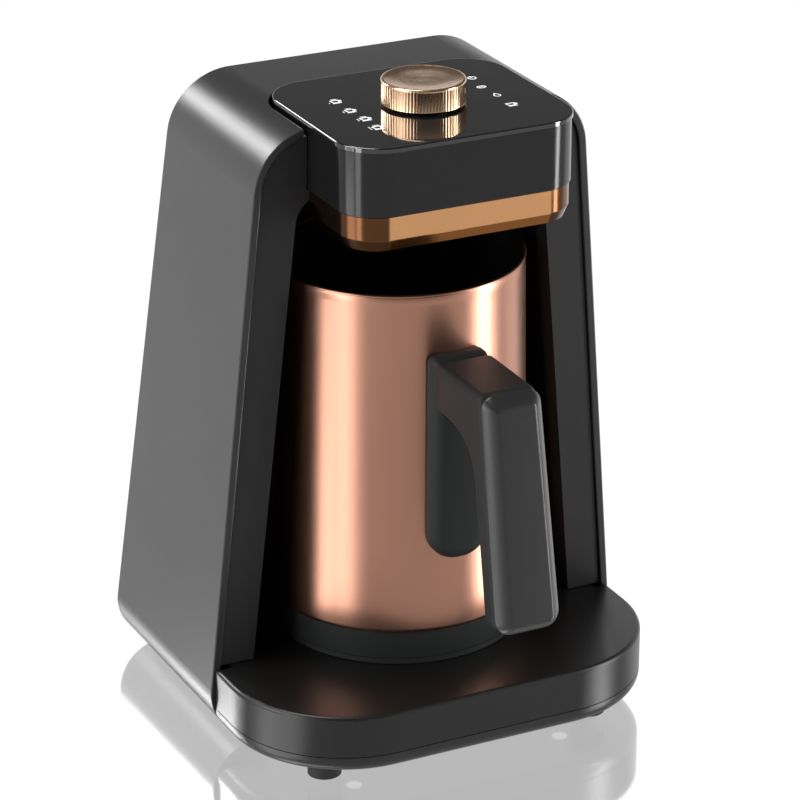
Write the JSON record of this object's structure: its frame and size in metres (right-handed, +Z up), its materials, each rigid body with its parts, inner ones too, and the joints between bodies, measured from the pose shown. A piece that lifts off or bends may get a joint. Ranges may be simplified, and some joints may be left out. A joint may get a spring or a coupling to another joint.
{
  "type": "electric turkish coffee maker",
  "caption": "Countertop electric pot brewer: a wrap-around shell with a niche, a head with a press-and-turn knob, and a pull-out copper-coloured jug with a side handle.",
  "frame": {"origin": "middle of the overall box on the floor under the feet", "axes": "+Z up, the front and the jug's handle face -Y, +X to the user's right"},
  "size_m": [0.1672, 0.1838, 0.2485],
  "materials": {
    "shell": "fine satin texture",
    "rear": "fine satin texture",
    "frame": "satin",
    "tray": "satin",
    "base": "satin",
    "head": "polished",
    "liner": "satin",
    "panel": "mirror gloss",
    "lens": "polished",
    "copper_trim": "polished copper plating",
    "knob_metal": "spun satin",
    "jug_copper": "satin copper colour",
    "handle_black": "satin",
    "handle_front": "satin",
    "rubber": "matte",
    "board": "lacquered board",
    "steel": "bright",
    "plate": "rolled",
    "lamp": "clear",
    "dark_plastic": "moulded",
    "brass_pins": "bright",
    "transformer": "lacquered",
    "relay": "moulded",
    "can": "drawn",
    "terminal": "moulded"
  },
  "bodies": {
    "root": {"outer_shell": "shell", "rear_screws": "steel", "rear_cover": "rear", "cord_gland": "rear", "front_frame": "frame", "front_left_foot": "rubber", "front_right_foot": "rubber", "rear_left_foot": "rubber", "rear_right_foot": "rubber", "base_screws": "steel", "base_tray": "tray", "base_bottom": "base", "head_housing": "head", "trim_strip": "copper_trim", "head_floor": "liner", "steam_sensor": "lens", "touch_panel": "panel", "control_board": "board", "touch_springs": "steel", "indicator_lamps": "lamp", "beeper": "dark_plastic", "board_pillars": "dark_plastic", "encoder_housing": "steel", "encoder_nut": "steel", "contact_pins": "brass_pins", "jug_plug": "dark_plastic", "power_board": "board", "transformer": "transformer", "heater_relay": "relay", "capacitor": "can", "terminal_block": "terminal"},
    "plunger": {"encoder_plunger": "dark_plastic"},
    "knob_body": {"knob": "knob_metal", "knob_hub": "dark_plastic", "encoder_shaft": "steel"},
    "jug": {"jug_body": "jug_copper", "jug_collar": "handle_black", "jug_base_cover": "handle_black", "jug_socket": "dark_plastic", "heater_plate": "plate", "heating_element": "steel", "thermostat": "steel", "handle_bracket": "handle_black", "handle_body": "handle_black", "handle_cover": "handle_front"}
  },
  "joints": [
    {"name": "knob_press", "type": "slide", "parent": "root", "child": "plunger", "axis": [0, 0, -1], "range_m": [0, 0.0007], "stiffness_N_per_m": 4000, "springref_m": -0.0005},
    {"name": "knob_spin", "type": "hinge", "parent": "plunger", "child": "knob_body", "pos_m": [0, -0.0076, 0.24], "axis": [0, 0, 1], "continuous": true},
    {"name": "jug_slide", "type": "slide", "parent": "root", "child": "jug", "axis": [0, -1, 0], "range_m": [0, 0.165]}
  ]
}
